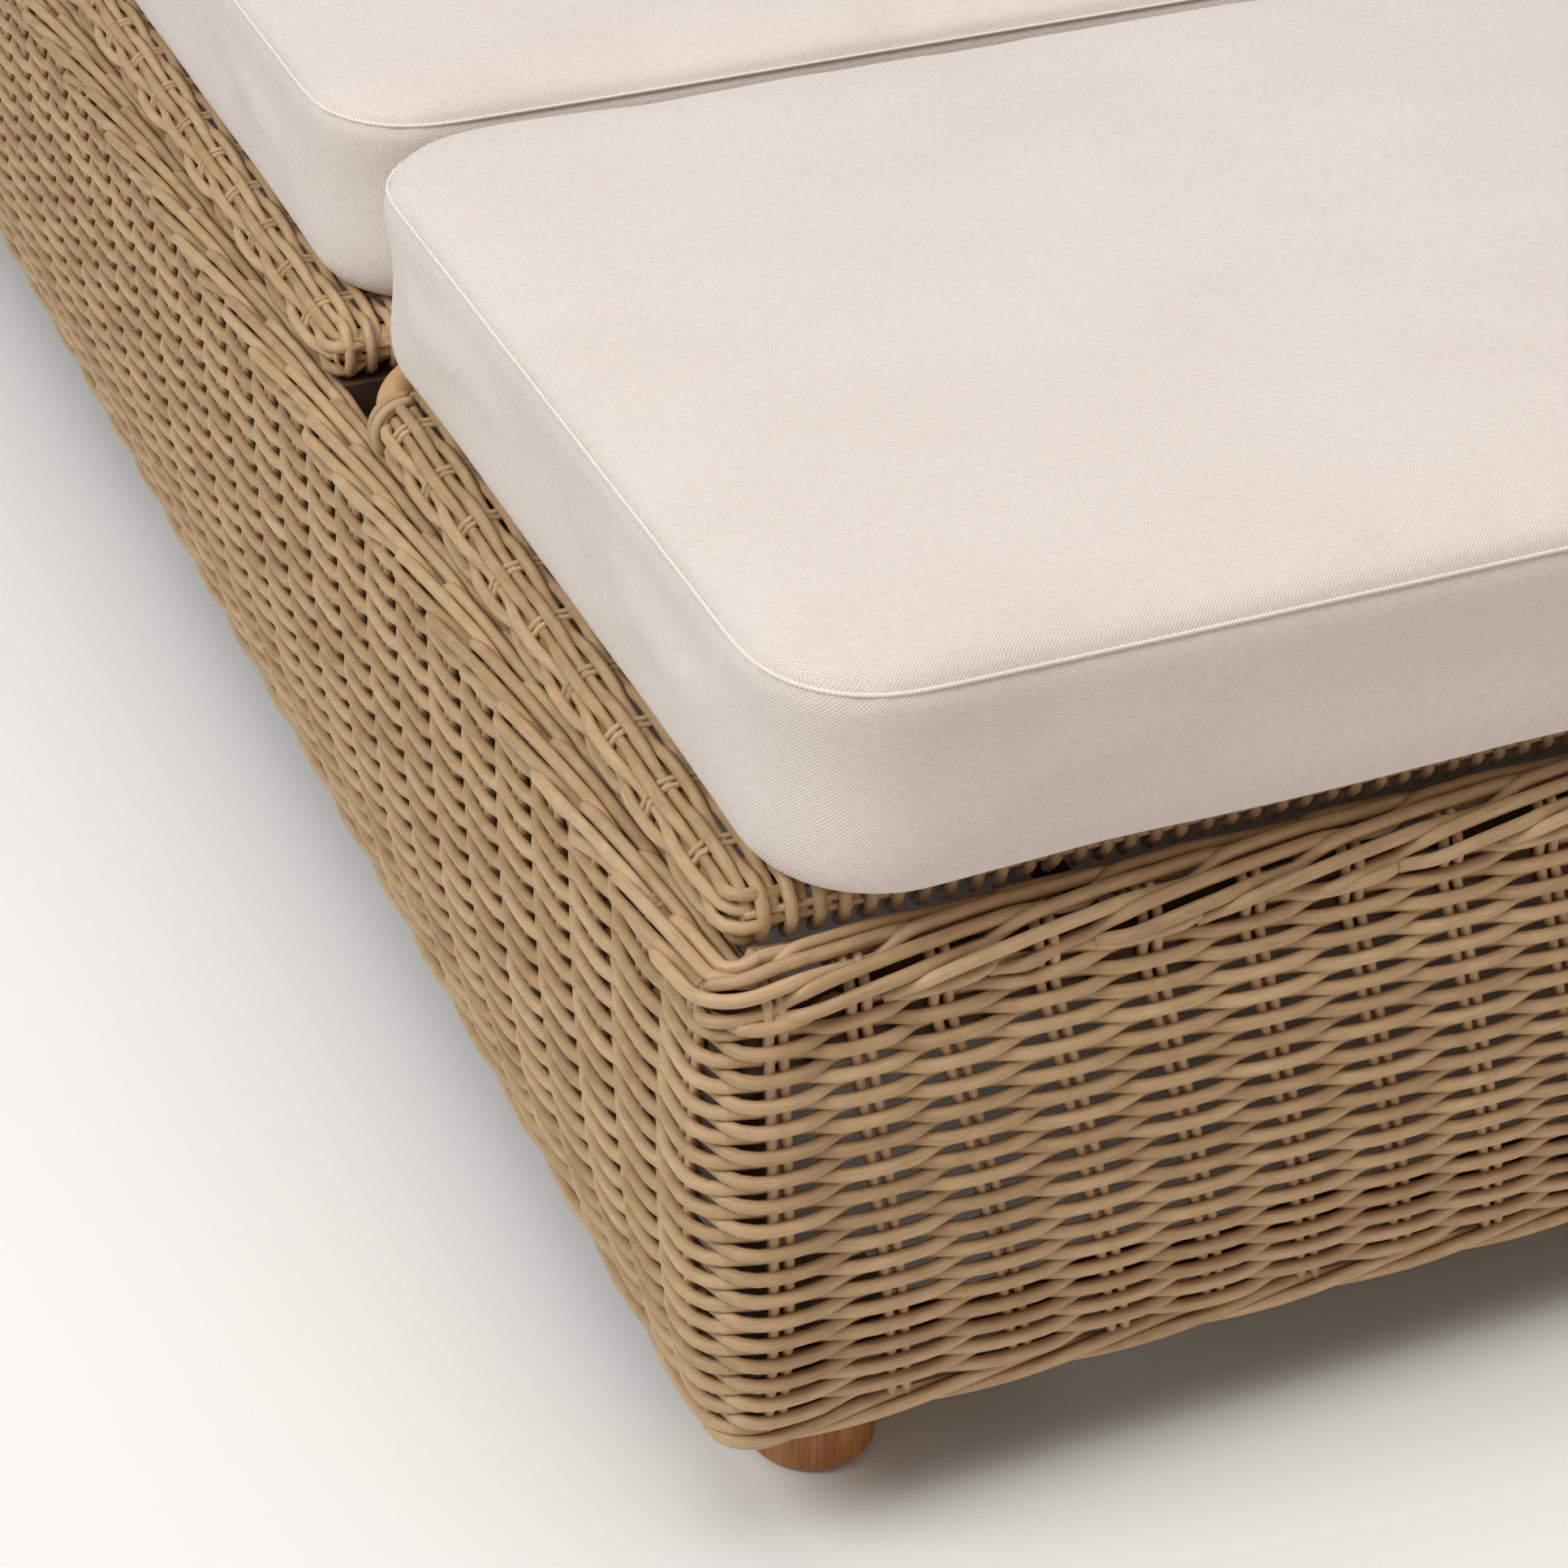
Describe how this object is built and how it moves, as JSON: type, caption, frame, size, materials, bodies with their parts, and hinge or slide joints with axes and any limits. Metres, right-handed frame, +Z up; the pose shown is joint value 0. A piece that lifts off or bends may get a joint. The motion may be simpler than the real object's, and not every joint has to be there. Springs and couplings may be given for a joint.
{
  "type": "double chaise lounger",
  "caption": "Woven double chaise lounger with tilting leg rests, reclining backs, thick boxed cushions and short round wooden legs.",
  "frame": {"origin": "on the floor under the middle of the base", "axes": "+Z up, +Y towards the head end, +X towards the right-hand lane"},
  "size_m": [1.4586, 2.01, 0.4573],
  "materials": {
    "wicker": "round extruded strand, satin",
    "frame": "powder coated brown",
    "panel_frame": "powder coated tan",
    "runner": "oiled hardwood strip",
    "teak": "oiled teak",
    "steel": "zinc plated",
    "glide": "moulded nylon",
    "cushion": "woven outdoor cloth over foam"
  },
  "bodies": {
    "base": {"bottom_cross_rail": "frame", "bottom_rail_front": "frame", "bottom_rail_left": "frame", "bottom_rail_rear": "frame", "bottom_rail_right": "frame", "centre_beam": "frame", "centre_runner": "runner", "clip_screws": "steel", "corner_posts": "frame", "foot_border_front": "wicker", "foot_border_left": "wicker", "foot_border_rear": "wicker", "foot_border_right": "wicker", "hinge_beams": "frame", "hinge_clips": "steel", "leg_glides": "glide", "leg_plates": "steel", "leg_studs": "steel", "legs": "teak", "rack_rails": "frame", "rack_screws": "steel", "racks": "steel", "seat_bearers": "frame", "seat_cushion_left": "cushion", "seat_cushion_right": "cushion", "seat_deck_left": "wicker", "seat_deck_right": "wicker", "seat_frame_left": "panel_frame", "seat_frame_right": "panel_frame", "seat_screws": "steel", "side_posts": "frame", "skirt_front": "wicker", "skirt_left": "wicker", "skirt_rear": "wicker", "skirt_right": "wicker", "top_border_front": "wicker", "top_border_left": "wicker", "top_border_rear": "wicker", "top_border_right": "wicker", "top_rail_front": "frame", "top_rail_left": "frame", "top_rail_rear": "frame", "top_rail_right": "frame"},
    "leg_panel_left": {"leg_frame_left": "panel_frame", "leg_deck_left": "wicker", "leg_cushion_left": "cushion"},
    "leg_strut_left": {"leg_prop_left": "steel"},
    "back_panel_left": {"back_frame_left": "panel_frame", "back_deck_left": "wicker", "back_cushion_left": "cushion"},
    "back_strut_left": {"back_prop_left": "steel"},
    "leg_panel_right": {"leg_frame_right": "panel_frame", "leg_deck_right": "wicker", "leg_cushion_right": "cushion"},
    "leg_strut_right": {"leg_prop_right": "steel"},
    "back_panel_right": {"back_frame_right": "panel_frame", "back_deck_right": "wicker", "back_cushion_right": "cushion"},
    "back_strut_right": {"back_prop_right": "steel"}
  },
  "joints": [
    {"name": "leg_tilt_left", "type": "hinge", "parent": "base", "child": "leg_panel_left", "pos_m": [-0.3545, -0.45, 0.326], "axis": [-1, 0, 0], "range_deg": [0, 30], "deforming": ["leg_cushion_left"]},
    {"name": "leg_prop_fold_left", "type": "hinge", "parent": "leg_panel_left", "child": "leg_strut_left", "pos_m": [-0.3545, -0.68, 0.306], "axis": [-1, 0, 0], "range_deg": [-60, 0]},
    {"name": "back_tilt_left", "type": "hinge", "parent": "base", "child": "back_panel_left", "pos_m": [-0.3545, 0.207, 0.326], "axis": [1, 0, 0], "range_deg": [0, 55], "deforming": ["back_cushion_left"]},
    {"name": "back_prop_fold_left", "type": "hinge", "parent": "back_panel_left", "child": "back_strut_left", "pos_m": [-0.3545, 0.537, 0.306], "axis": [1, 0, 0], "range_deg": [-110, 0]},
    {"name": "leg_tilt_right", "type": "hinge", "parent": "base", "child": "leg_panel_right", "pos_m": [0.3545, -0.45, 0.326], "axis": [-1, 0, 0], "range_deg": [0, 30], "deforming": ["leg_cushion_right"]},
    {"name": "leg_prop_fold_right", "type": "hinge", "parent": "leg_panel_right", "child": "leg_strut_right", "pos_m": [0.3545, -0.68, 0.306], "axis": [-1, 0, 0], "range_deg": [-60, 0]},
    {"name": "back_tilt_right", "type": "hinge", "parent": "base", "child": "back_panel_right", "pos_m": [0.3545, 0.207, 0.326], "axis": [1, 0, 0], "range_deg": [0, 55], "deforming": ["back_cushion_right"]},
    {"name": "back_prop_fold_right", "type": "hinge", "parent": "back_panel_right", "child": "back_strut_right", "pos_m": [0.3545, 0.537, 0.306], "axis": [1, 0, 0], "range_deg": [-110, 0]}
  ],
  "couplings": [
    {"joint": "leg_prop_fold_left", "follows": "leg_tilt_left", "ratio": -2},
    {"joint": "back_prop_fold_left", "follows": "back_tilt_left", "ratio": -2},
    {"joint": "leg_prop_fold_right", "follows": "leg_tilt_right", "ratio": -2},
    {"joint": "back_prop_fold_right", "follows": "back_tilt_right", "ratio": -2}
  ]
}
